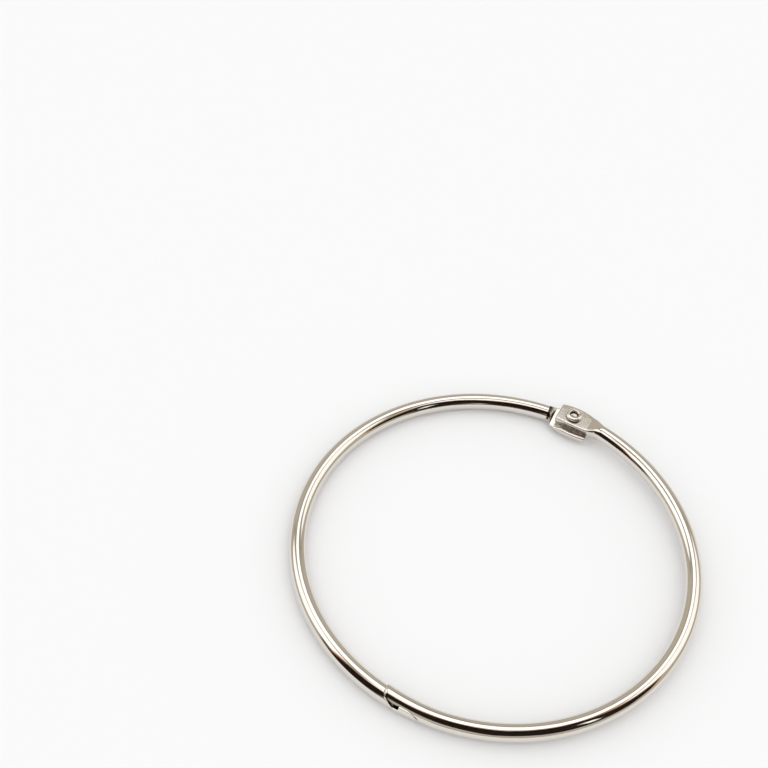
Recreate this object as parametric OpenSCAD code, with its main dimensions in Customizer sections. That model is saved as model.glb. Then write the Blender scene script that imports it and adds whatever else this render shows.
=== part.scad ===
// Hinged binder ring: two half rings of round steel wire, riveted together at
// one side and closed by a hooked lap at the other. Each half ends in a flat
// tab that is pressed out of the middle of its wire. The tabs lie one on the
// other, so the right half leans up from the latch to the hinge. The left half
// lies flat, with the ring's centre at the origin and its underside at z = 0.

/* [Ring] */
// Outside diameter of the closed ring
ring_od = 76; // [40:1:110]
// Diameter of the round wire
wire_d = 3.2; // [2.6:0.1:4.2]
// Place of the hinge round the ring, counted from +X
hinge_deg = 61.5; // [0:0.5:180]
// Turn from the hinge to the seam of the latch, along the left half
latch_deg = 174.2; // [160:0.1:190]

/* [Hinge tabs] */
// Thickness of the upper tab, on the right half
upper_t = 1.35; // [1:0.05:1.9]
// Reach of the upper tab's end from its middle line, outwards
upper_out = 2; // [1.7:0.05:2.4]
// Bulge of the upper tab's outer side
upper_out_bulge = 0.55; // [0.1:0.05:0.7]
// Reach of the upper tab's end from its middle line, inwards
upper_in = 2.25; // [1.7:0.05:2.6]
// Bulge of the upper tab's inner side
upper_in_bulge = 0.1; // [0.05:0.05:0.6]
// Length of the upper tab past the rivet
upper_nose = 3.15; // [2.4:0.05:4]
// Thickness of the lower tab, on the left half
lower_t = 1.05; // [0.8:0.05:1.5]
// Reach of the lower tab's end from its middle line, outwards
lower_out = 1.9; // [1.7:0.05:2.6]
// Bulge of the lower tab's outer side
lower_out_bulge = 0.3; // [0.1:0.05:0.6]
// Reach of the lower tab's end from its middle line, inwards
lower_in = 3.25; // [2:0.05:3.6]
// Bulge of the lower tab's inner side
lower_in_bulge = 0.4; // [0.1:0.05:0.6]
// Length of the lower tab past the rivet
lower_nose = 3.95; // [3:0.05:4.6]
// Clearance between a tab's outer corner, as it turns, and the other shoulder
corner_gap = 0.1; // [0.05:0.05:1]
// Length over which a shoulder drops from the wire to its tab
shoulder_run = 0.95; // [0.6:0.05:2]
// Free height between the two tabs
tab_gap = 0.06; // [0.03:0.01:0.2]

/* [Rivet] */
// Diameter of the rivet's shank
shank_d = 2.2; // [1.8:0.1:2.4]
// Running clearance between the shank and the upper tab, on the radius
shank_gap = 0.05; // [0.02:0.01:0.1]
// Outside diameter of the rolled rim
rim_d = 3.3; // [3:0.1:3.6]
// Thickness of the rolled rim
rim_t = 0.76; // [0.5:0.02:0.9]
// Play between the rim and the upper tab
rim_gap = 0.04; // [0.02:0.01:0.1]
// Wall of the rivet's hollow end
hollow_wall = 0.3; // [0.2:0.05:0.5]
// Depth of the hollow, from the top of the rim
hollow_depth = 1.3; // [0.8:0.1:2]
// Diameter of the rivet's low head, under the lower tab
tail_d = 3.4; // [3:0.1:4]
// Height of the rivet's low head
tail_t = 0.35; // [0.1:0.05:0.5]

/* [Latch] */
// Slant of the seam across the wire
seam_deg = 18; // [0:1:45]
// Height of the step at the seam, down from the top of the wire
step_high = 0.5; // [0.3:0.05:0.8]
// Length over which the step slopes down
step_run = 0.3; // [0.1:0.05:0.6]
// Length of the ramp from the step to the notch
ramp_run = 1.9; // [1.2:0.05:3]
// Height of the notch's floor above the middle of the wire
notch_low = 0.18; // [0:0.02:0.4]
// Length of the notch's floor
notch_run = 0.9; // [0.6:0.05:1.5]
// Length of the slope from the notch up to the hook
hook_slope = 0.2; // [0.1:0.05:0.3]
// Height of the hook's flat top above the middle of the wire
hook_high = 0.94; // [0.6:0.02:1]
// Length of the hook's flat top
hook_run = 1.7; // [1:0.1:2.5]
// Length of the slope from the hook to the end of the tongue
lap_run = 1.85; // [1:0.05:2.5]
// Height of the end of the tongue above the middle of the wire
lap_low = 0.3; // [0:0.05:0.5]
// Thickness of the upper tongue's tip
tip_t = 0.3; // [0.2:0.05:0.4]
// Length from the tip to the flat of the upper tongue's underside
tip_run = 1.3; // [1:0.05:2]
// Gap between the ends of the lap, along the wire
seam_gap = 0.12; // [0.05:0.01:0.2]
// Gap between the faces of the lap, in height
lap_gap = 0.05; // [0.03:0.01:0.1]

/* [Hidden] */
$fn = 96;
steel = "#c9c2b6";
neck_lap = 0.2;                  // length that a neck runs into its tab and its wire
neck_step = 0.03;                // how far a neck's outlines stay inside the wire's end
neck_tail = 0.7;                 // half width of a neck's buried end, as a share of the wire's
neck_flare = 1.4;                // rise of a neck's cone, per length
taper_run = 0.9;                 // length over which a tab narrows to its neck
neck_ratio = 0.84;               // width of a tab's neck, as a share of its end
lap_reach = 10;                  // reach of the lap's blocks round it
wire_r = wire_d / 2;
ring_r = (ring_od - wire_d) / 2; // radius of the wire's centre line
wire_z = wire_r;                 // height of the left half's centre line
lower_z = wire_z - lower_t / 2;  // underside of the lower tab
upper_z = lower_z + lower_t + tab_gap;
rise = upper_z + upper_t / 2 - wire_z; // height of the right wire over the left one, at the hinge
lean = asin(rise / (ring_r * (1 - cos(latch_deg)))); // tilt of the right half
rim_r = rim_t / 2;
rim_mid_z = upper_z + upper_t + rim_gap + rim_r;
left_foot = norm([upper_out, upper_nose]) + corner_gap;  // foot of the left half's shoulder
right_foot = norm([lower_out, lower_nose]) + corner_gap; // foot of the right half's shoulder
left_neck = left_foot + shoulder_run; // where the left wire is round again
right_neck = right_foot + shoulder_run;
ramp_end = step_run + ramp_run;        // these four are lengths past the seam
hook_start = ramp_end + notch_run + hook_slope;
hook_end = hook_start + hook_run;
tongue_end = hook_end + lap_run;
tip_slope = tip_t * step_run / step_high; // length of the sloping end of the tip

// Turn round the ring that a length along the wire takes
function turn(run) = run / ring_r * 180 / PI;

// Puts its children at a place round the ring, X outwards and Y onwards
module round_ring(deg) {
  rotate([0, 0, deg]) translate([ring_r, 0, 0]) children();
}

// Round wire from one place round the ring to another
module wire_arc(from_deg, to_deg) {
  translate([0, 0, wire_z])
    rotate([0, 0, from_deg])
      rotate_extrude(angle = to_deg - from_deg)
        translate([ring_r, 0]) circle(d = wire_d);
}

// Tilts its children about the line that the wire follows at the latch
module leaning() {
  round_ring(hinge_deg + latch_deg)
    translate([0, 0, wire_z])
      rotate([0, lean, 0])
        translate([-ring_r, 0, -wire_z]) rotate([0, 0, -hinge_deg - latch_deg]) children();
}

// Large disc whose edge is one side of a tab: it passes through side at both
// ends of a length and swells past it by bulge in the middle
module side_disc(length, side, bulge) {
  half = length / 2;
  r = (half * half + bulge * bulge) / (2 * bulge);
  translate([side + bulge - r, half]) circle(r = r, $fn = 360);
}

// Plan of a tab along +Y from the rivet: a square end at -nose, sides that
// swell outwards (+X) and inwards (-X), and a taper to the neck at foot
module tab_plan(nose, foot, out, out_bulge, in, in_bulge) {
  length = nose + foot - taper_run;
  translate([0, -nose])
    intersection() {
      translate([-2 * in, 0]) square([2 * (in + out), length]);
      side_disc(length, out, out_bulge);
      mirror([1, 0]) side_disc(length, in, in_bulge);
    }
  polygon([
    [-in, foot - taper_run],
    [out, foot - taper_run],
    [out * neck_ratio, foot],
    [-in * neck_ratio, foot]
  ]);
}

// Point beside the wire in the hinge's own axes, a length along the wire from
// the rivet and a length off its centre line
function beside(run, off) = [
  (ring_r + off) * cos(turn(run)) - ring_r,
  (ring_r + off) * sin(turn(run))
];

// Neck along +Y that takes a tab, from -in to out and t thick, to the round
// wire: a cone cut to the outlines that it has from above and from the side.
// The wire's centre line is at z = 0
module neck(foot, neck_run, out, in, t) {
  cone_run = neck_run + neck_lap;
  cone_h = 2 * shoulder_run;
  cone_r = wire_r - neck_lap / 2;
  half_w = wire_r - neck_step;
  tail_w = wire_r * neck_tail;
  side_end = beside(neck_run, -wire_r)[1];
  side_far = beside(neck_run + shoulder_run, wire_r)[1];
  intersection() {
    translate(beside(cone_run, 0))
      rotate([90, 0, turn(cone_run)])
        cylinder(h = cone_h, r1 = cone_r, r2 = cone_r + cone_h * neck_flare);
    translate([0, 0, -2 * wire_d])
      linear_extrude(4 * wire_d)
        polygon([
          [-in, foot - neck_lap],
          [out, foot - neck_lap],
          [out, foot],
          beside(neck_run, half_w),
          beside(neck_run + shoulder_run, tail_w),
          beside(neck_run + shoulder_run, -tail_w),
          beside(neck_run, -half_w),
          [-in, foot]
        ]);
    rotate([90, 0, 90])
      linear_extrude(4 * wire_d, center = true)
        polygon([
          [foot - neck_lap, -t / 2],
          [foot, -t / 2],
          [side_end, -half_w],
          [side_far, -tail_w],
          [side_far, tail_w],
          [side_end, half_w],
          [foot, t / 2],
          [foot - neck_lap, t / 2]
        ]);
  }
}

// Tab and neck of one half along +Y from the rivet, with the hole for the
// rivet. The wire's centre line is at z = 0
module hinge_end(nose, foot, neck_run, t, hole_d, out, out_bulge, in, in_bulge) {
  neck(foot, neck_run, out * neck_ratio, in * neck_ratio, t);
  difference() {
    translate([0, 0, -t / 2])
      linear_extrude(t) tab_plan(nose, foot, out, out_bulge, in, in_bulge);
    translate([0, 0, -t]) cylinder(d = hole_d, h = 2 * t);
  }
}

// Block on one side of the lap's outline, which is a list of points
// [run along the wire, height above its middle]
module lap_block(outline) {
  round_ring(hinge_deg + latch_deg)
    translate([0, 0, wire_z])
      rotate([0, 0, seam_deg])
        rotate([90, 0, 90])
          linear_extrude(2 * lap_reach, center = true)
            polygon([for (p = outline) [p[0] * cos(seam_deg), p[1]]]);
}

// Left half: lower tab, shoulder, wire and the lower tongue of the latch
module left_half() {
  color(steel) {
    difference() {
      wire_arc(hinge_deg + turn(left_neck), hinge_deg + latch_deg + turn(lap_reach));
      lap_block([
        [0, wire_d],
        [0, wire_r],
        [step_run, wire_r - step_high],
        [ramp_end, notch_low],
        [ramp_end + notch_run, notch_low],
        [hook_start, hook_high],
        [hook_end, hook_high],
        [tongue_end, lap_low],
        [tongue_end, -wire_d],
        [2 * lap_reach, -wire_d],
        [2 * lap_reach, wire_d]
      ]);
    }
    round_ring(hinge_deg)
      translate([0, 0, wire_z])
        hinge_end(lower_nose, left_foot, left_neck, lower_t, shank_d,
          lower_out, lower_out_bulge, lower_in, lower_in_bulge);
  }
}

// Right half: upper tab, shoulder, wire and the upper tongue of the latch
module right_half() {
  color(steel) {
    difference() {
      leaning()
        wire_arc(hinge_deg + latch_deg - 360 - turn(lap_reach / 2),
          hinge_deg - turn(right_neck));
      lap_block([
        [seam_gap, wire_d],
        [seam_gap, wire_r],
        [seam_gap + tip_slope, wire_r - tip_t],
        [seam_gap + tip_run, hook_high + lap_gap],
        [seam_gap + hook_end, hook_high + lap_gap],
        [seam_gap + tongue_end, lap_low + lap_gap],
        [seam_gap + tongue_end, -wire_d],
        [-2 * lap_reach, -wire_d],
        [-2 * lap_reach, wire_d]
      ]);
    }
    round_ring(hinge_deg)
      translate([0, 0, wire_z + rise])
        mirror([0, 1, 0])
          hinge_end(upper_nose, right_foot, right_neck, upper_t, shank_d + 2 * shank_gap,
            upper_out, upper_out_bulge, upper_in, upper_in_bulge);
  }
}

// Rivet: low head below, shank, and a rolled rim with an open hole on top
module rivet() {
  color(steel)
    round_ring(hinge_deg)
      difference() {
        union() {
          translate([0, 0, lower_z - tail_t]) cylinder(d = tail_d, h = tail_t);
          translate([0, 0, lower_z]) cylinder(d = shank_d, h = rim_mid_z - lower_z);
          translate([0, 0, rim_mid_z])
            rotate_extrude()
              translate([rim_d / 2 - rim_r, 0]) circle(r = rim_r, $fn = 48);
        }
        translate([0, 0, rim_mid_z + rim_r - hollow_depth])
          cylinder(d = shank_d - 2 * hollow_wall, h = 2 * hollow_depth);
      }
}

left_half();
right_half();
rivet();
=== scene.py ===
"""Looks of a hinged binder ring: two nickel-plated wire halves, a rivet and a lap latch."""
import logging
import math
from dataclasses import dataclass, field
from enum import Enum

import bmesh
import bpy
import numpy as np
from mathutils import Matrix, Vector


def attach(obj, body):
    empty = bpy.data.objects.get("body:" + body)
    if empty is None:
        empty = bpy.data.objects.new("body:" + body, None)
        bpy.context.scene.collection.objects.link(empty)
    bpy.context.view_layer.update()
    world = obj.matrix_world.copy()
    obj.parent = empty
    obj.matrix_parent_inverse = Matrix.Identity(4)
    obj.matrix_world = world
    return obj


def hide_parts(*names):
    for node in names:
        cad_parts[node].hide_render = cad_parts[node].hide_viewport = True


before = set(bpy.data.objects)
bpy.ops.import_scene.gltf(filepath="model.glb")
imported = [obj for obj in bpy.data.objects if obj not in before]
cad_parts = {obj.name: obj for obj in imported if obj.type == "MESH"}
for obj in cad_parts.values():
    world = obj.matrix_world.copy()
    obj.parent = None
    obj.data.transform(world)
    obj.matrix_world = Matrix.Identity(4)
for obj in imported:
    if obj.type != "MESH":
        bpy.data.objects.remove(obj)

logging.basicConfig(level=logging.INFO, format="%(message)s")
LOG = logging.getLogger("binder_ring")

MM = 0.001
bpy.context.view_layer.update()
Outline = tuple[tuple[float, float], ...]

# Nearly all that a noise gives lies in this span
NOISE_SPAN = {"From Min": 0.3, "From Max": 0.7}


class Body(Enum):
    """The two bodies that the hinge joins."""

    LEFT = "left"
    RIGHT = "right"


class Slot(Enum):
    """Names for two material slots; no piece in this script is given one."""

    WIRE = "plated_wire"
    RIVET = "plated_rivet"


class Side(Enum):
    """Which way round the ring a half runs from the rivet, seen from above."""

    LEFT = 1
    RIGHT = -1


@dataclass(frozen=True)
class RingPlan:
    """The closed ring seen from above: the radius of its wire's line in mm, the rivet's
    bearing from +X, and how much further round the latch is, in degrees."""

    ring_r: float = 36.4
    hinge_deg: float = 61.5
    latch_deg: float = 174.2

    @property
    def hinge(self) -> float:
        """The rivet's bearing in radians."""
        return math.radians(self.hinge_deg)

    @property
    def latch(self) -> float:
        """The latch's bearing in radians."""
        return math.radians(self.hinge_deg + self.latch_deg)

    @property
    def rivet(self) -> tuple[float, float]:
        """The rivet's place in metres."""
        return (self.ring_r * math.cos(self.hinge) * MM,
                self.ring_r * math.sin(self.hinge) * MM)


PLAN = RingPlan()


# --------------------------------------------------------------------------
# Helpers
# --------------------------------------------------------------------------

def linear(code: str) -> tuple[float, float, float, float]:
    """Turns an sRGB hex colour into a linear one.

    Args:
        code: the colour as #rrggbb.

    Returns:
        Linear red, green, blue and an alpha of 1.
    """
    parts = np.array([int(code[i:i + 2], 16) / 255 for i in (1, 3, 5)])
    low, high = parts / 12.92, ((parts + 0.055) / 1.055) ** 2.4
    return (*(float(v) for v in np.where(parts <= 0.04045, low, high)), 1.0)


def add_node(tree: bpy.types.NodeTree, kind: str, inputs: dict | None = None,
             **settings: object) -> bpy.types.Node:
    """Adds a node, sets its properties and fills or links its inputs.

    Args:
        tree: the node tree that takes the node.
        kind: the node's type name.
        inputs: for each input, by name or number, a socket to link or a value.
        settings: the node's own properties.

    Returns:
        The new node.
    """
    node = tree.nodes.new(kind)
    for name, value in settings.items():
        setattr(node, name, value)
    for key, value in (inputs or {}).items():
        if isinstance(value, bpy.types.NodeSocket):
            tree.links.new(value, node.inputs[key])
        else:
            node.inputs[key].default_value = value
    return node


def ease(x: np.ndarray, start: float, end: float) -> np.ndarray:
    """Smooth step from 0 at start to 1 at end: three t squared less two t cubed."""
    t = np.clip((x - start) / (end - start), 0.0, 1.0)
    return t * t * (3.0 - 2.0 * t)


def shifted(outline: Outline, ahead: float) -> Outline:
    """The outline moved along Y by ahead."""
    return tuple((x, y + ahead) for x, y in outline)


def rounded(distance: np.ndarray, radius: float) -> np.ndarray:
    """How far a round of the given radius draws a surface in at a distance from its edge:
    the radius less the root of its square less the square of what is left of it."""
    left = np.clip(radius - distance, 0.0, radius)
    return radius - np.sqrt(radius ** 2 - left ** 2)


def metal(name: str) -> tuple[bpy.types.Material, bpy.types.NodeTree, bpy.types.Node]:
    """Starts the material of a bare metal surface.

    Args:
        name: the material's name.

    Returns:
        The material, its node tree and its shader.
    """
    material = bpy.data.materials.new(name)
    material.use_nodes = True
    shader = material.node_tree.nodes["Principled BSDF"]
    shader.inputs["Metallic"].default_value = 1.0
    return material, material.node_tree, shader


def grid_mesh(name: str, points: np.ndarray, attributes: dict[str, np.ndarray],
              sharp_deg: float) -> bpy.types.Object:
    """Makes one closed skin from a grid of rings of points, with a lid at each end.

    Args:
        name: the piece's name.
        points: rings by points by xyz, in metres. Each ring runs round the skin.
        attributes: per point, a number or a vector in the same grid.
        sharp_deg: edges that turn more than this are shaded sharp.

    Returns:
        The linked object, at the origin, with faces outwards.
    """
    rings, count = points.shape[:2]
    ring, spot = np.meshgrid(np.arange(rings - 1), np.arange(count), indexing="ij")
    after = (spot + 1) % count
    quads = np.stack([ring * count + spot, ring * count + after,
                      (ring + 1) * count + after, (ring + 1) * count + spot], -1)
    faces = quads.reshape(-1, 4).tolist()
    faces.append(list(range(count))[::-1])
    faces.append(list(range((rings - 1) * count, rings * count)))
    mesh = bpy.data.meshes.new(name)
    mesh.from_pydata(points.reshape(-1, 3), [], faces)
    for key, values in attributes.items():
        vector = values.ndim == 3
        layer = mesh.attributes.new(key, "FLOAT_VECTOR" if vector else "FLOAT", "POINT")
        layer.data.foreach_set("vector" if vector else "value",
                               values.astype(np.float32).ravel())
    piece = bpy.data.objects.new(name, mesh)
    bpy.context.scene.collection.objects.link(piece)
    finish_mesh(mesh, sharp_deg)
    return piece


def finish_mesh(mesh: bpy.types.Mesh, sharp_deg: float) -> None:
    """Turns faces outwards, shades them smooth and marks the sharp edges.

    Args:
        mesh: the mesh, changed in place.
        sharp_deg: edges that turn more than this are shaded sharp.
    """
    work = bmesh.new()
    work.from_mesh(mesh)
    bmesh.ops.recalc_face_normals(work, faces=work.faces)
    work.to_mesh(mesh)
    work.free()
    mesh.polygons.foreach_set("use_smooth", np.ones(len(mesh.polygons), bool))
    mesh.set_sharp_from_angle(angle=math.radians(sharp_deg))
    mesh.update()


def lathe_points(profile: np.ndarray, centre: tuple[float, float], count: int) -> np.ndarray:
    """Turns a profile about an upright axis: x = cx + r cos a, y = cy + r sin a.

    Args:
        profile: rows of radius and height, in metres.
        centre: the axis's x and y.
        count: points round.

    Returns:
        Rings by points by xyz.
    """
    angle = np.arange(count) * 2 * math.pi / count
    radius, height = profile[:, :1], profile[:, 1:]
    return np.stack([centre[0] + radius * np.cos(angle),
                     centre[1] + radius * np.sin(angle),
                     np.broadcast_to(height, (len(profile), count))], -1)


# --------------------------------------------------------------------------
# Finishes
# --------------------------------------------------------------------------

@dataclass(frozen=True)
class BrightNickelWire:
    """Bright nickel plate on drawn and pressed steel wire.

    Drawing leaves fine lines along the wire and a faint waviness that breaks long
    reflections up. The dies leave the tabs flat but matt and mottled, and the crease of the
    lower shoulder is darkened as painted shade.

    Patterns are in grains to the millimetre: along and across the wire for the lines and
    the waves. The real lines are a few hundredths of a millimetre apart and the marks of
    the dies' grit a tenth, which is too fine to show, so both are drawn coarser. Each
    relief is its depth in mm and its strength.
    """

    plate: str = "#e2ddd6"
    pressed: str = "#cfc8bd"
    crease_shade: str = "#3d3527"
    wire_roughness: tuple[float, float] = (0.07 * 0.7, 0.07 * 1.5)
    tab_roughness: tuple[float, float] = (0.22 * 0.75, 0.22 * 1.3)
    lines_per_mm: tuple[float, float] = (0.06, 7.0)
    waves_per_mm: tuple[float, float] = (0.26, 0.7)
    mottle_per_mm: float = 2.6
    blotch_per_mm: float = 0.9
    most_stain: float = 0.45
    wave_relief: tuple[float, float] = (0.02, 0.5)
    line_relief: tuple[float, float] = (0.0012, 0.6)
    dent_relief: tuple[float, float] = (0.03, 0.6)

    def build(self) -> bpy.types.Material:
        """Builds the node tree.

        Returns:
            The material.
        """
        material, tree, shader = metal("bright_nickel_wire")
        along, press, crease = (
            add_node(tree, "ShaderNodeAttribute", attribute_name=name).outputs[kind]
            for name, kind in (("unrolled", "Vector"), ("pressed", "Fac"), ("crease", "Fac")))
        stretched = []
        for (lengthwise, across), settings in ((self.lines_per_mm, {"Detail": 3.0,
                                                                    "Roughness": 0.6}),
                                               (self.waves_per_mm, {"Detail": 2.0})):
            scale = (lengthwise / MM, across / MM, across / MM)
            place = add_node(tree, "ShaderNodeMapping", {"Vector": along, "Scale": scale})
            stretched.append(add_node(tree, "ShaderNodeTexNoise",
                                      {"Vector": place.outputs[0], "Scale": 1.0, **settings}))
        lines, waves = stretched
        mottle = add_node(tree, "ShaderNodeTexNoise",
                          {"Vector": along, "Scale": self.mottle_per_mm / MM, "Detail": 4.0,
                           "Roughness": 0.65})
        blotch = add_node(tree, "ShaderNodeTexNoise",
                          {"Vector": along, "Scale": self.blotch_per_mm / MM, "Detail": 3.0})
        # Roughness: the drawn wire's varies with its lines, the pressed tab's in blotches
        wire_rough, tab_rough = (
            add_node(tree, "ShaderNodeMapRange",
                     {"Value": noise.outputs["Fac"], **NOISE_SPAN, "To Min": least,
                      "To Max": most}).outputs[0]
            for noise, (least, most) in ((lines, self.wire_roughness),
                                         (blotch, self.tab_roughness)))
        rough = add_node(tree, "ShaderNodeMix", {0: press, 2: wire_rough, 3: tab_rough},
                         data_type="FLOAT")
        tree.links.new(rough.outputs[0], shader.inputs["Roughness"])
        # Colour: clean plate, a greyer mottle on the tabs, painted shade darkening the crease
        stain_and_shade = add_node(tree, "ShaderNodeMapRange",
                         {"Value": mottle.outputs["Fac"], "From Min": 0.35, "From Max": 0.75,
                          "To Min": 0.0, "To Max": self.most_stain})
        tab_stain = add_node(tree, "ShaderNodeMath", {0: stain_and_shade.outputs[0], 1: press},
                             operation="MULTIPLY")
        tint = add_node(tree, "ShaderNodeMix",
                        {0: tab_stain.outputs[0], 6: linear(self.plate),
                         7: linear(self.pressed)}, data_type="RGBA")
        # Painted shade: the shoulder's crease is darkened towards a dark olive
        crease_shade = add_node(tree, "ShaderNodeMix",
                         {0: crease, 6: tint.outputs[2], 7: linear(self.crease_shade)},
                         data_type="RGBA")
        tree.links.new(crease_shade.outputs[2], shader.inputs["Base Color"])
        # Relief: waves, then drawing lines, then the dents of the dies on the tabs
        dents = add_node(tree, "ShaderNodeMath", {0: mottle.outputs["Fac"], 1: press},
                         operation="MULTIPLY")
        relief = {}
        for height, (deep, strength) in ((waves.outputs["Fac"], self.wave_relief),
                                         (lines.outputs["Fac"], self.line_relief),
                                         (dents.outputs[0], self.dent_relief)):
            bump = add_node(tree, "ShaderNodeBump",
                            {"Height": height, "Distance": deep * MM, "Strength": strength,
                             **relief})
            relief = {"Normal": bump.outputs[0]}
        tree.links.new(relief["Normal"], shader.inputs["Normal"])
        return material


@dataclass(frozen=True)
class BrightNickelRivet:
    """Bright nickel plate on a turned and rolled steel rivet.

    The rolled rim is smooth, with faint spots from the setting tool, which are drawn
    coarser than the real ones so that they show. In the bore, on the shank and under the
    rim the colour is darkened towards a dark olive as painted shade. The spots' relief is
    depth in mm and strength.
    """

    plate: str = "#e2ddd6"
    recess_shade: str = "#5a4f3b"
    roughness: tuple[float, float] = (0.13 * 0.7, 0.13 * 1.8)
    spots_per_mm: float = 1.8
    spot_relief: tuple[float, float] = (0.03, 0.5)

    def build(self) -> bpy.types.Material:
        """Builds the node tree.

        Returns:
            The material.
        """
        material, tree, shader = metal("bright_nickel_rivet")
        place = add_node(tree, "ShaderNodeTexCoord").outputs["Object"]
        recess = add_node(tree, "ShaderNodeAttribute", attribute_name="recess").outputs["Fac"]
        # Painted shade: the recesses are darkened towards a dark olive
        colour = add_node(tree, "ShaderNodeMix",
                          {0: recess, 6: linear(self.plate), 7: linear(self.recess_shade)},
                          data_type="RGBA")
        tree.links.new(colour.outputs[2], shader.inputs["Base Color"])
        spots = add_node(tree, "ShaderNodeTexNoise",
                         {"Vector": place, "Scale": self.spots_per_mm / MM, "Detail": 3.0})
        least, most = self.roughness
        rough = add_node(tree, "ShaderNodeMapRange",
                         {"Value": spots.outputs["Fac"], **NOISE_SPAN, "To Min": least,
                          "To Max": most})
        tree.links.new(rough.outputs[0], shader.inputs["Roughness"])
        deep, strength = self.spot_relief
        bump = add_node(tree, "ShaderNodeBump",
                        {"Height": spots.outputs["Fac"], "Distance": deep * MM,
                         "Strength": strength})
        tree.links.new(bump.outputs[0], shader.inputs["Normal"])
        return material


@dataclass(frozen=True)
class MattWhiteCard:
    """Matt white card under the ring, plain and even."""

    card: str = "#f7f7f7"
    roughness: float = 0.8
    gloss: float = 0.2

    def build(self) -> bpy.types.Material:
        """Builds the node tree.

        Returns:
            The material.
        """
        material = bpy.data.materials.new("matt_white_card")
        material.use_nodes = True
        shader = material.node_tree.nodes["Principled BSDF"]
        shader.inputs["Base Color"].default_value = linear(self.card)
        shader.inputs["Roughness"].default_value = self.roughness
        shader.inputs["Specular IOR Level"].default_value = self.gloss
        return material


# --------------------------------------------------------------------------
# The ring
# --------------------------------------------------------------------------

@dataclass(frozen=True)
class Tab:
    """A hinge tab, pressed from the end of the wire. Lengths in mm.

    Along the wire it runs from -nose to foot, and across from -inner to outer. Its sides
    swell by their bulges, in arcs that end arc_gap before the foot. Over top_run,
    under_run and side_run its top, underside and sides grow into round wire, and its
    satin fades into bright plate over satin_run. With crown 1 the top's shoulder starts
    crisply at its foot and ends rounder, with 0 it is eased at both ends. Dip is how far
    the top is tilted down towards the inner side, growing over dip_run. Crease is where
    painted shade darkens the shoulder, or 0; the shade's reach is how far from it the
    painted shade starts, is full, starts to fade and is gone. The long edges are rounded
    by edge in height and edge_wide in width, and the corners of the square end by corner.
    """

    thick: float
    nose: float
    foot: float
    outer: float
    outer_bulge: float
    inner: float
    inner_bulge: float
    top_run: tuple[float, float]
    under_run: tuple[float, float]
    side_run: tuple[float, float]
    satin_run: tuple[float, float]
    crown: float = 0.0
    crease: float = 0.0
    dip: float = 0.0
    dip_run: tuple[float, float] = (1.2, 3.1)
    arc_gap: float = 0.9
    neck_run: float = 0.95
    edge: float = 0.24
    edge_wide: float = 0.42
    corner: float = 0.3
    crown_power: float = 2.2
    shade_reach: tuple[float, float, float, float] = (-0.65, -0.15, 0.1, 0.3)

    def side(self, run: np.ndarray, reach: float, bulge: float) -> np.ndarray:
        """How far one side is from the wire's line: an arc through reach at both ends that
        swells by bulge, level past its far end.

        Args:
            run: places along the wire, from the rivet.
            reach: the side's distance at the two ends of its arc.
            bulge: how much further it is in the middle.

        Returns:
            The distance at each place.
        """
        half = (self.nose + self.foot - self.arc_gap) / 2
        radius = (half * half + bulge * bulge) / (2 * bulge)
        off = np.clip(run + self.nose - half, -half, half)
        return reach + bulge - radius + np.sqrt(radius * radius - off * off)

    def shoulder(self, run: np.ndarray) -> np.ndarray:
        """How far the top has grown into wire, 0 to 1: a smooth step mixed by crown with
        1 less a power of what is left of the shoulder.

        Args:
            run: places along the wire, from the rivet.

        Returns:
            The share of wire at each place.
        """
        start, end = self.top_run
        left = 1 - np.clip((run - start) / (end - start), 0, 1)
        crisp = 1 - left ** self.crown_power
        return ease(run, start, end) * (1 - self.crown) + crisp * self.crown

    def stain_and_shade(self, run: np.ndarray) -> np.ndarray:
        """How strongly painted shade darkens the shoulder, 0 to 1: it grows up to the crease
        and fades just past it, and there is none where crease is 0."""
        start, full, fading, gone = (self.crease + off for off in self.shade_reach)
        return ease(run, start, full) * (1 - ease(run, fading, gone)) * (self.crease > 0)


@dataclass(frozen=True)
class Lap:
    """One side of the hooked lap of the latch. Lengths in mm.

    The outline gives the height of the lap's face over the wire's middle against the
    length past the seam, and the seam crosses the wire at a slant. The tongue's tip is
    rolled over by lip_drop along its last lip millimetres.
    """

    outline: Outline
    upper: bool
    slant_deg: float = 18.0
    lip: float = 0.0
    lip_drop: float = 0.22

    def height(self, run: np.ndarray) -> np.ndarray:
        """Height of the face at each length past the seam, from the outline's corners."""
        runs, heights = zip(*self.outline)
        return np.interp(run, runs, heights)


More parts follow.
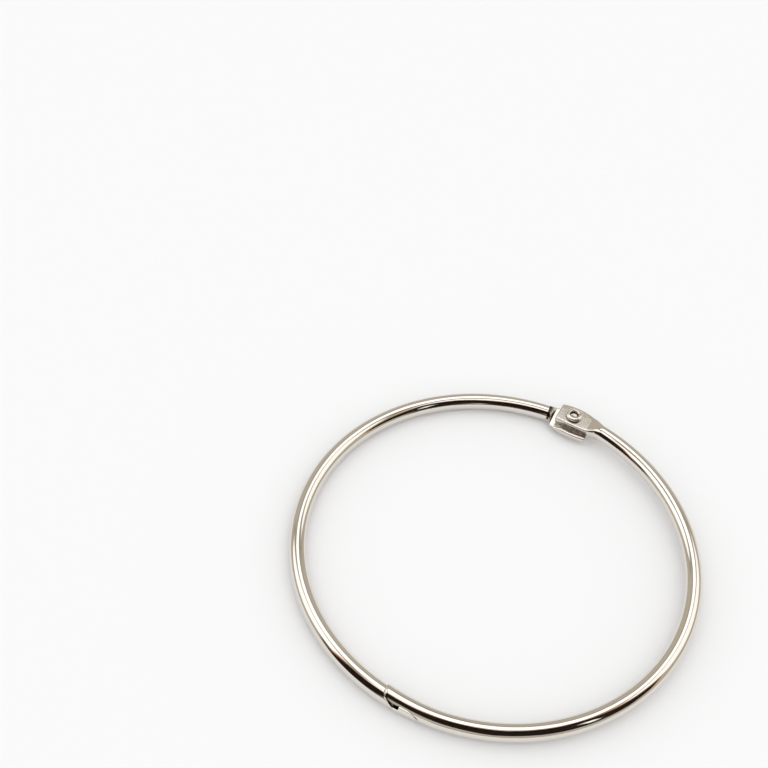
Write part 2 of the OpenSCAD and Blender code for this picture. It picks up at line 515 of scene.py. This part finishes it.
@dataclass
class WireHalf:
    """One half of the ring: hinge tab, shoulder, round wire and latch tongue, in one skin.

    Lengths in mm. Places along it are measured from the rivet, so the tab lies between
    -nose and foot and the latch's seam at seam_run. Mid_z is the height of the tab's
    middle, lean_deg how far the half leans up from the latch, and latch_shift how far the
    wire is set outwards at the latch, which grows over the last shift_run. Within lap_run
    of the seam the section is cut by the lap, and over skew_run from it the rings of
    points turn from the seam's slant to square. The straight tab starts to turn into the
    ring's circle join_lead before its foot.

    The rings of points are plate_step apart on the tab, shoulder_step from shoulder_lead
    before its foot to wire_lead past its neck, and lap_step at the latch, with
    wire_rings in between and end_rings on each round of the square end. Thin is the
    least size that a side or a step may have, and drill_reach how far the drill for the
    rivet's hole stands out from the tab's middle.
    """

    name: str
    side: Side
    body: Body
    tab: Tab
    lap: Lap
    mid_z: float
    hole_r: float
    lean_deg: float = 0.0
    latch_shift: float = 0.0
    shift_run: float = 12.0
    lap_run: float = 8.0
    skew_run: tuple[float, float] = (7.2, 14.0)
    join_lead: float = 0.6
    wire_r: float = 1.6
    plan: RingPlan = PLAN
    plate_step: float = 0.2
    shoulder_step: float = 0.045
    shoulder_lead: float = 1.45
    wire_lead: float = 1.6
    lap_step: float = 0.07
    wire_rings: int = 200
    end_rings: int = 5
    round_points: int = 128
    hole_points: int = 96
    drill_reach: float = 2.0
    sharp_deg: float = 32.0
    thin: float = 0.004
    neck: float = field(init=False)
    seam_run: float = field(init=False)

    def __post_init__(self) -> None:
        """Works out where the wire is round again and where the seam lies."""
        self.neck = self.tab.foot + self.tab.neck_run
        latch_deg = self.plan.latch_deg
        turn = latch_deg if self.side is Side.LEFT else 360 - latch_deg
        self.seam_run = math.radians(turn) * self.plan.ring_r

    def stations(self) -> np.ndarray:
        """Places of the rings of points: close together at the tab, its shoulder and the
        lap, and further apart along the plain wire.

        Returns:
            The places, in growing order.
        """
        nose, edge, corner = -self.tab.nose, self.tab.edge, self.tab.corner
        first, last = self.tab.foot - self.shoulder_lead, self.neck + self.wire_lead
        gap = self.plate_step / 2
        bevel = nose + edge * (1 - np.cos(np.linspace(0, math.pi / 2, self.end_rings)))
        # These stand closer together towards the end
        corners = nose + edge + (corner - edge) * np.linspace(0, 1, self.end_rings) ** 1.5
        plate = np.arange(nose + corner + gap, first - gap / 2, self.plate_step)
        shoulder = np.arange(first, last, self.shoulder_step)
        wire = np.linspace(last + gap, self.seam_run - self.lap_run - 2 * gap,
                           self.wire_rings)
        # The left half's tongue runs on past the seam. The right half's places grow
        # towards the seam from the other side, so its outline is taken backwards.
        kinks = np.array([run for run, _ in self.lap.outline]) * self.side.value
        tip = kinks.max()
        lap = np.arange(self.seam_run - self.lap_run, self.seam_run + tip, self.lap_step)
        places = np.concatenate([bevel, corners, plate, shoulder, wire, lap,
                                 self.seam_run + kinks])
        places = np.unique(np.round(places, 5))
        keep = np.concatenate([[True], np.diff(places) > self.thin])
        return places[keep & (places <= self.seam_run + tip + 1e-6)]

    def section(self, run: np.ndarray, t: np.ndarray) -> tuple[np.ndarray, np.ndarray]:
        """Cross-sections without the lap: rectangles with elliptical corners that grow
        until they are round wire.

        Off = middle + (half width - corner width) * sign(cos t) + corner width * cos t,
        and the same with sine and the corner's height for the height. The top's tilt is
        then taken off the height.

        Args:
            run: places along the half, as a column.
            t: angle round the section, as a row.

        Returns:
            Distance off the wire's line, outwards, and height over its middle.
        """
        tab, wire, places = self.tab, self.wire_r, run[:, 0]
        grow = ease(places, *tab.side_run)
        inset = rounded(places + tab.nose, tab.corner)
        outer, inner = (tab.side(places, reach, bulge) * (1 - grow) + wire * grow - inset
                        for reach, bulge in ((tab.outer, tab.outer_bulge),
                                             (tab.inner, tab.inner_bulge)))
        # The edges of the square end are rounded: every side draws in by bevel there
        bevel = rounded(places + tab.nose, tab.edge)[:, None]
        half_w = (outer + inner)[:, None] / 2 - bevel
        middle = (outer - inner)[:, None] / 2
        is_top = np.sin(t) > 0
        lift = np.where(is_top, tab.shoulder(places)[:, None],
                        ease(places, *tab.under_run)[:, None])
        half_h = tab.thick / 2 * (1 - lift) + wire * lift
        tall = np.minimum(tab.edge * (1 - lift) + wire * lift, half_h)
        wide = np.minimum(tab.edge_wide * (1 - lift) + wire * lift, half_w)
        tall = np.maximum(tall - bevel, self.thin)
        wide = np.maximum(wide - bevel, self.thin)
        off = middle + (half_w - wide) * np.sign(np.cos(t)) + wide * np.cos(t)
        high = (half_h - bevel - tall) * np.sign(np.sin(t)) + tall * np.sin(t)
        share = np.clip((tab.outer - off) / (tab.outer + tab.inner), 0, 1)
        dip = tab.dip * ease(places, *tab.dip_run)[:, None] * (1 - lift) * share
        return off, high - dip * is_top

    def lapped(self, past: np.ndarray, t: np.ndarray) -> tuple[np.ndarray, np.ndarray]:
        """Cross-sections of round wire cut by the lap's face.

        What is kept is a circle's arc above the face and, where the face is higher than
        the middle, a chord; where it is lower, the rest of the circle down to the face.
        The lower tongue is the same thing upside down.

        Args:
            past: lengths past the seam, as a column.
            t: angle round the section, as a row.

        Returns:
            Distance off the wire's line, outwards, and height over its middle.
        """
        radius, lap = self.wire_r, self.lap
        sign = 1.0 if lap.upper else -1.0
        # A face kept just under the wire's top leaves its chord some width
        face = np.clip(sign * lap.height(past), -radius, radius * 0.9999)
        whole = past > lap.outline[-1][0] + 1e-6 if lap.upper else past < 0
        face = np.where(whole, -radius, face)
        t = np.mod(sign * t, 2 * math.pi)
        start = np.arcsin(np.clip(face / radius, 0, 1))
        over = start + (math.pi - 2 * start) * t / math.pi
        under = radius * np.cos(start) * np.cos(t)
        top = t < math.pi
        # The tip of the upper tongue is rolled over along its lip
        rolled = radius
        if lap.lip:
            left = np.clip(1 - (past - lap.outline[0][0]) / lap.lip, 0, 1)
            rolled = radius - lap.lip_drop * (1 - np.sqrt(1 - left ** 2))
        off = np.where(top, radius * np.cos(over), under)
        low = -np.sqrt(np.maximum(radius ** 2 - under ** 2, 0))
        high = np.where(top, np.maximum(rolled * np.sin(over), face), np.maximum(low, face))
        return off, sign * high

    def along_ring(self, past: np.ndarray, off: np.ndarray, high: np.ndarray) -> np.ndarray:
        """Places sections along the ring's circle.

        A plain ring of points lies square to the wire, at an angle of past over radius.
        At the lap it lies along the slanted seam, so its angle is the one whose point is
        past beyond the seam's slanted line through the latch.

        Args:
            past: lengths past the seam, as a column.
            off: distances off the wire's line, outwards.
            high: heights over the wire's middle.

        Returns:
            Rings by points by xyz in mm.
        """
        rho = self.plan.ring_r + off
        slope = math.tan(math.radians(self.lap.slant_deg))
        reach = (past - self.plan.ring_r * slope) / (rho * math.hypot(1, slope))
        slanted = math.atan(slope) + np.arcsin(np.clip(reach, -1, 1))
        skew = 1 - ease(np.abs(past), *self.skew_run)
        angle = self.plan.latch + past / self.plan.ring_r * (1 - skew) + slanted * skew
        points = np.stack([rho * np.cos(angle), rho * np.sin(angle), high + self.wire_r], -1)
        return self.leaning(points)

    def along_tab(self, run: np.ndarray, off: np.ndarray, high: np.ndarray) -> np.ndarray:
        """Places sections along the straight tangent at the rivet.

        Args:
            run: places along the half, as a column.
            off: distances off the wire's line, outwards.
            high: heights over the tab's middle.

        Returns:
            Rings by points by xyz in mm.
        """
        out_x, out_y = math.cos(self.plan.hinge), math.sin(self.plan.hinge)
        on_x, on_y = -out_y * self.side.value, out_x * self.side.value
        away = self.plan.ring_r + off
        return np.stack([away * out_x + run * on_x, away * out_y + run * on_y,
                         high + self.mid_z], -1)

    def points(self) -> tuple[np.ndarray, dict[str, np.ndarray]]:
        """Works out the whole skin.

        Returns:
            Rings by points by xyz in metres, and the point attributes.
        """
        run = self.stations()[:, None]
        t = ((np.arange(self.round_points) + 0.5) * 2 * math.pi / self.round_points)[None, :]
        off, high = self.section(run, t)
        past = (run - self.seam_run) * self.side.value
        lap_off, lap_high = self.lapped(past, t)
        near = np.abs(past) < self.lap_run
        off, high = np.where(near, lap_off, off), np.where(near, lap_high, high)
        off = off + self.latch_shift * ease(run, self.seam_run - self.shift_run, self.seam_run)
        join = ease(run, self.tab.foot - self.join_lead, self.tab.side_run[1])[..., None]
        points = (self.along_tab(run, off, high) * (1 - join)
                  + self.along_ring(past, off, high) * join)
        unrolled = np.stack([np.broadcast_to(run, off.shape), off, high], -1)
        pressed = 1 - ease(run, *self.tab.satin_run)
        # The crease attribute carries painted shade along the shoulder's crease
        attributes = {"unrolled": unrolled * MM,
                      "pressed": np.broadcast_to(pressed, off.shape),
                      "crease": self.tab.stain_and_shade(run) * (np.sin(t) > 0)}
        return points * MM, attributes

    def leaning(self, points: np.ndarray) -> np.ndarray:
        """Tilts points about the line that the wire follows at the latch: with d the
        distance in from that line, the height grows by d sin(lean) and d shrinks to
        d cos(lean).

        Args:
            points: xyz in mm.

        Returns:
            The tilted points.
        """
        lean = math.radians(self.lean_deg)
        out = np.array([math.cos(self.plan.latch), math.sin(self.plan.latch)])
        inwards = self.plan.ring_r - points[..., :2] @ out
        height = points[..., 2] - self.wire_r
        moved = inwards * math.cos(lean) - height * math.sin(lean)
        raised = inwards * math.sin(lean) + height * math.cos(lean)
        plan = points[..., :2] + (inwards - moved)[..., None] * out
        return np.concatenate([plan, (raised + self.wire_r)[..., None]], -1)

    def pierce(self, piece: bpy.types.Object) -> None:
        """Cuts the rivet's hole through the tab.

        Args:
            piece: the half, whose mesh is replaced.
        """
        low, high = self.mid_z - self.drill_reach, self.mid_z + self.drill_reach
        rod = np.array([[self.hole_r, low], [self.hole_r, high]])
        drill = grid_mesh("drill", lathe_points(rod * MM, self.plan.rivet, self.hole_points),
                          {}, self.sharp_deg)
        cut = piece.modifiers.new("rivet_hole", "BOOLEAN")
        cut.operation, cut.solver, cut.object = "DIFFERENCE", "EXACT", drill
        shaped = piece.evaluated_get(bpy.context.evaluated_depsgraph_get())
        mesh = bpy.data.meshes.new_from_object(shaped)
        piece.modifiers.remove(cut)
        bpy.data.objects.remove(drill)
        piece.data = mesh
        mesh.name = self.name
        finish_mesh(mesh, self.sharp_deg)

    def build(self, material: bpy.types.Material) -> bpy.types.Object:
        """Makes the half and dresses it.

        Args:
            material: the plate on the wire.

        Returns:
            The finished piece.
        """
        points, attributes = self.points()
        piece = grid_mesh(self.name, points, attributes, self.sharp_deg)
        self.pierce(piece)
        piece.data.materials.clear()
        piece.data.materials.append(material)
        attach(piece, self.body.value)
        LOG.info("%s: %d faces", self.name, len(piece.data.polygons))
        return piece


@dataclass
class Rivet:
    """The hinge's rivet: low head below, shank, and a rolled rim with an open hole on top.

    Lengths in mm. Soft rounds the head's edges and cove the foot of the bore's wall.
    The under and foot spans of the painted shade are where it fades out, as angles round
    the rim, from its underside, and round the cove, from the wall.
    """

    lower_z: float = 1.075
    tail_r: float = 1.7
    tail_t: float = 0.35
    shank_r: float = 1.1
    rim_mid_z: float = 3.955
    rim_out: float = 1.65
    rim_half: float = 0.38
    rim_wide: float = 0.55
    bore_r: float = 0.8
    bore_depth: float = 0.75
    soft: float = 0.12
    cove: float = 0.3
    under_shade: tuple[float, float] = (-1.1, -0.3)
    foot_shade: tuple[float, float] = (0.5, 1.6)
    pole_r: float = 0.01
    plan: RingPlan = PLAN
    quarter_points: int = 7
    roll_points: int = 41
    round_points: int = 96
    sharp_deg: float = 32.0

    def profile(self) -> tuple[np.ndarray, np.ndarray]:
        """Half section from the middle of the head below to the floor of the bore.

        The rim is half an ellipse turned outwards whose inner side rolls into the bore.
        Each round is a quarter circle, or half an ellipse, of sines and cosines. Painted
        shade darkens the shank, the rim's underside and the foot of the bore's wall.

        Returns:
            Rows of radius and height in mm, and how far each lies in a recess, 0 to 1, which
            is how much painted shade darkens it.
        """
        quarter = np.linspace(0, math.pi / 2, self.quarter_points)
        roll = np.linspace(-math.pi / 2, math.pi / 2, self.roll_points)
        sine, cosine = np.sin(quarter), np.cos(quarter)
        low, head_r = self.lower_z - self.tail_t, self.tail_r - self.soft
        rim_mid, rim_top = self.rim_out - self.rim_wide, self.rim_mid_z + self.rim_half
        lip_run, floor_z = rim_mid - self.bore_r, rim_top - self.bore_depth
        # The third column is the painted shade of each recess, 0 to 1
        parts = (
            ([self.pole_r], [low], [0]),
            (head_r + self.soft * sine, low + self.soft - self.soft * cosine, 0 * sine),
            (head_r + self.soft * cosine, self.lower_z - self.soft + self.soft * sine,
             0 * sine),
            ([self.shank_r] * 2, [self.lower_z, self.rim_mid_z - self.rim_half], [0.5, 1]),
            (rim_mid + self.rim_wide * np.cos(roll),
             self.rim_mid_z + self.rim_half * np.sin(roll),
             1 - ease(roll, *self.under_shade)),
            ((rim_mid - lip_run * sine)[1:], (rim_top - lip_run * (1 - cosine))[1:],
             0 * sine[1:]),
            (self.bore_r - self.cove + self.cove * cosine,
             floor_z + self.cove - self.cove * sine, 1 - ease(quarter, *self.foot_shade)),
            ([self.pole_r], [floor_z], [0]),
        )
        radius, height, recess = (np.concatenate(column) for column in zip(*parts))
        return np.stack([radius, height], -1), recess

    def build(self, material: bpy.types.Material) -> bpy.types.Object:
        """Makes the rivet and dresses it.

        Args:
            material: the plate on the rivet.

        Returns:
            The finished piece.
        """
        rows, recess = self.profile()
        points = lathe_points(rows * MM, self.plan.rivet, self.round_points)
        recess = np.broadcast_to(recess[:, None], points.shape[:2])
        piece = grid_mesh("rolled_rivet", points, {"recess": recess}, self.sharp_deg)
        piece.data.materials.append(material)
        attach(piece, Body.LEFT.value)
        LOG.info("rolled_rivet: %d faces", len(piece.data.polygons))
        return piece


# --------------------------------------------------------------------------
# Studio
# --------------------------------------------------------------------------

@dataclass(frozen=True)
class SkyPatch:
    """A soft round patch of the studio round the ring: its middle's bearing from +X and
    height in degrees, its half angle, the width of its soft edge, colour and strength."""

    bearing: float
    height: float
    half: float
    soft: float
    colour: str
    strength: float = 1.0


@dataclass(frozen=True)
class Screen:
    """A flat screen hung level over the ring, which only the metal mirrors. Its height and
    outline are in mm, and glow is how brightly it shines in its colour."""

    name: str
    height: float
    outline: Outline
    colour: str
    glow: float = 1.0

    def build(self) -> bpy.types.Object:
        """Hangs the screen, unseen by the camera and casting no shadow.

        Returns:
            The screen.
        """
        mesh = bpy.data.meshes.new(self.name)
        corners = [(x * MM, y * MM, self.height * MM) for x, y in self.outline]
        mesh.from_pydata(corners, [], [tuple(range(len(corners)))])
        screen = bpy.data.objects.new(self.name, mesh)
        bpy.context.scene.collection.objects.link(screen)
        for ray in ("camera", "diffuse", "shadow", "transmission", "volume_scatter"):
            setattr(screen, f"visible_{ray}", False)
        material = bpy.data.materials.new(self.name)
        material.use_nodes = True
        shader = material.node_tree.nodes["Principled BSDF"]
        shader.inputs["Base Color"].default_value = (0, 0, 0, 1)
        shader.inputs["Specular IOR Level"].default_value = 0
        shader.inputs["Emission Color"].default_value = linear(self.colour)
        shader.inputs["Emission Strength"].default_value = self.glow
        mesh.materials.append(material)
        return screen


@dataclass
class Studio:
    """Floor, room light and camera.

    Wall is the colour of the room's walls as the metal mirrors them, even the strength of
    the plain white light that falls on the card, and floor_half_m half the card's side.
    The camera stands at stand_mm and looks along ahead, with its right hand towards
    to_right.
    """

    patches: tuple[SkyPatch, ...]
    wall: str = "#c4bdaf"
    even: float = 1.035
    floor_half_m: float = 3.0
    stand_mm: tuple[float, float, float] = (-35.93, -136.88, 197.45)
    ahead: tuple[float, float, float] = (0.0580, 0.6685, -0.7415)
    to_right: tuple[float, float, float] = (0.9969, 0.0012, 0.0791)
    lens_mm: float = 60.82
    sensor_mm: float = 36.0

    def floor(self) -> bpy.types.Object:
        """Lays the card under the ring: a single large square at the height where the
        ring lies.

        Returns:
            The floor.
        """
        corners = np.array([[-1, -1, 0], [1, -1, 0], [1, 1, 0], [-1, 1, 0]])
        mesh = bpy.data.meshes.new("floor")
        mesh.from_pydata(corners * self.floor_half_m, [], [(0, 1, 2, 3)])
        floor = bpy.data.objects.new("floor", mesh)
        bpy.context.scene.collection.objects.link(floor)
        mesh.materials.append(MattWhiteCard().build())
        return floor

    def room(self) -> None:
        """Paints the room as light by direction: pale walls with soft patches on them."""
        world = bpy.data.worlds.new("studio_room")
        bpy.context.scene.world = world
        world.use_nodes = True
        tree = world.node_tree
        out = tree.nodes["Background"]
        way = add_node(tree, "ShaderNodeTexCoord").outputs["Generated"]
        colour = linear(self.wall)
        for patch in self.patches:
            bearing, height = math.radians(patch.bearing), math.radians(patch.height)
            middle = (math.cos(height) * math.cos(bearing),
                      math.cos(height) * math.sin(bearing), math.sin(height))
            near = add_node(tree, "ShaderNodeVectorMath", {0: way, 1: middle},
                            operation="DOT_PRODUCT")
            share = add_node(tree, "ShaderNodeMapRange",
                             {"Value": near.outputs["Value"],
                              "From Min": math.cos(math.radians(patch.half + patch.soft)),
                              "From Max": math.cos(math.radians(patch.half))},
                             interpolation_type="SMOOTHSTEP")
            paint = np.array(linear(patch.colour)) * patch.strength
            mix = add_node(tree, "ShaderNodeMix",
                           {0: share.outputs[0], 6: colour, 7: tuple(paint)},
                           data_type="RGBA")
            colour = mix.outputs[2]
        # What the metal mirrors is the painted room; the card is lit by an even sky, the
        # sum of the soft lights all round, so that its shadow stays soft and neutral
        mirrored = add_node(tree, "ShaderNodeLightPath").outputs["Is Glossy Ray"]
        plain = (self.even, self.even, self.even, 1.0)
        seen = add_node(tree, "ShaderNodeMix", {0: mirrored, 6: plain, 7: colour},
                        data_type="RGBA")
        tree.links.new(seen.outputs[2], out.inputs["Color"])

    def camera(self) -> None:
        """Stands the camera in front of the ring and above it, looking down on it."""
        lens = bpy.data.cameras.new("camera")
        lens.sensor_width, lens.lens = self.sensor_mm, self.lens_mm
        ahead = Vector(self.ahead).normalized()
        right = Vector(self.to_right)
        right = (right - ahead * right.dot(ahead)).normalized()
        above = right.cross(ahead)
        view = Matrix((right, above, -ahead)).transposed().to_4x4()
        view.translation = Vector(self.stand_mm) * MM
        camera = bpy.data.objects.new("camera", lens)
        camera.matrix_world = view
        bpy.context.scene.collection.objects.link(camera)
        bpy.context.scene.camera = camera
        bpy.context.scene.view_settings.view_transform = "Standard"


LOWER_TAB = Tab(thick=1.05, nose=3.95, foot=3.831, outer=1.9, outer_bulge=0.3,
                inner=3.25, inner_bulge=0.4, top_run=(3.9, 5.3), under_run=(3.7, 5.0),
                side_run=(3.2, 5.0), crown=1.0, crease=5.0, dip=0.5, satin_run=(2.7, 3.5))
UPPER_TAB = Tab(thick=1.35, nose=3.15, foot=4.483, outer=2.0, outer_bulge=0.55,
                inner=2.25, inner_bulge=0.1, top_run=(3.3, 6.6), under_run=(4.5, 6.0),
                side_run=(2.9, 6.4), satin_run=(2.9, 6.4))
LOWER_LAP = Lap(outline=((0.0, 1.6), (0.15, 1.33), (0.3, 1.1), (0.8, 0.86), (1.3, 0.6),
                         (1.85, 0.34), (2.2, 0.2), (3.1, 0.18), (3.28, 0.92), (3.5, 0.94),
                         (4.7, 0.94), (5.4, 0.86), (6.0, 0.7), (6.6, 0.42), (6.85, 0.3)),
                upper=False)
UPPER_LAP = Lap(outline=((0.12, 1.6), (0.28, 1.32), (0.7, 1.2), (1.0, 1.02), (1.4, 0.9),
                         (2.0, 0.86), (2.95, 0.87), (3.12, 0.98), (4.8, 0.99), (5.5, 0.92),
                         (6.1, 0.76), (6.7, 0.48), (6.97, 0.35)),
                upper=True, lip=0.6)

# What stands round the ring and shows in its plate, later patches over earlier ones.
# The windows left, right and high behind are painted twice: a wider grey-brown patch
# for the frame, then the bright pane inside it.
PATCHES = (
    # The frames of the windows on the left, on the right and high behind
    SkyPatch(163, 42, 24, 5, "#a39b88"),
    SkyPatch(19, 42, 23, 5, "#a39b88"),
    SkyPatch(84, 69, 24, 6, "#a39b88"),
    # Their panes, left and right, and the next pane round on the left
    SkyPatch(163, 42, 20, 4, "#ffffff", 1.4),
    SkyPatch(19, 42, 19, 4, "#fffdf8", 1.35),
    SkyPatch(188, 47, 14, 4, "#ffffff", 1.4),
    # Panes overhead, on the camera's side
    SkyPatch(240, 72, 18, 3, "#ffffff", 1.4),
    SkyPatch(300, 68, 17, 3, "#fffdf8", 1.35),
    # The window high behind: a brown rim with a crisp edge, then its pane
    SkyPatch(86, 69, 21.2, 1.6, "#85725c"),
    SkyPatch(86, 69, 18.4, 2.4, "#ffffff", 1.6),
    # Dark doorways low down, on the camera's side
    SkyPatch(206, 18, 15, 6, "#15120d"),
    SkyPatch(262, 6, 17, 4, "#17120d"),
    SkyPatch(300, 3, 16, 5, "#17120d"),
)

# The black hood over the ring, in mm: its edge, then the rest of its outline. The hems
# follow the same edge a little further out.
HOOD_EDGE = ((-940, -215), (-400, -125), (-150, -50), (-60, -72), (-20, -52), (25, -75),
             (80, -25), (130, -50), (320, -62), (560, -190))
HOOD_BACK = ((560, -430), (230, -420), (0, -540), (-170, -400), (-240, -290), (-940, -400))
HEM_BACK = ((560, -250), (0, -200), (-300, -150))

# The hood with its two hems and the slit of daylight in it, the bar close over the
# hinge, and the pale lip of the card in front
SCREENS = (
    Screen("black_hood", 200.0, shifted(HOOD_EDGE + HOOD_BACK, -4), "#1a140f"),
    Screen("brown_hem", 202.0, shifted(HOOD_EDGE, 11) + HEM_BACK, "#7d4a2a"),
    Screen("pale_hem", 204.0, shifted(HOOD_EDGE, 23) + HEM_BACK, "#dcae86"),
    Screen("hood_slit", 198.0, ((120, -122), (137, -108), (225, -195), (203, -213)),
           "#f4fbf4", 1.4),
    Screen("black_bar", 70.0, ((-2, 37), (2, 31), (15, 39), (11, 45)), "#1c1611"),
    Screen("card_lip", 11.5, ((-24, -50), (-12, -53), (0, -63), (15, -62), (30, -51),
                              (45, -42), (60, -38), (160, -190), (0, -240), (-100, -190)),
           "#d3cbbf", 0.85),
)


def main() -> None:
    """Builds the ring, dresses it and sets the studio up."""
    wire = BrightNickelWire().build()
    left = WireHalf("left_wire_half", Side.LEFT, Body.LEFT, LOWER_TAB, LOWER_LAP,
                    mid_z=1.6, hole_r=1.1)
    right = WireHalf("right_wire_half", Side.RIGHT, Body.RIGHT, UPPER_TAB, UPPER_LAP,
                     mid_z=2.86, hole_r=1.15, lean_deg=0.994, latch_shift=-0.25)
    for half, node in ((left, "left_half"), (right, "right_half")):
        piece = half.build(wire)
        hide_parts(node)
    rivet = Rivet().build(BrightNickelRivet().build())
    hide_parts("rivet")
    studio = Studio(PATCHES)
    studio.floor()
    studio.room()
    for screen in SCREENS:
        screen.build()
    studio.camera()


if __name__ == "__main__":
    main()
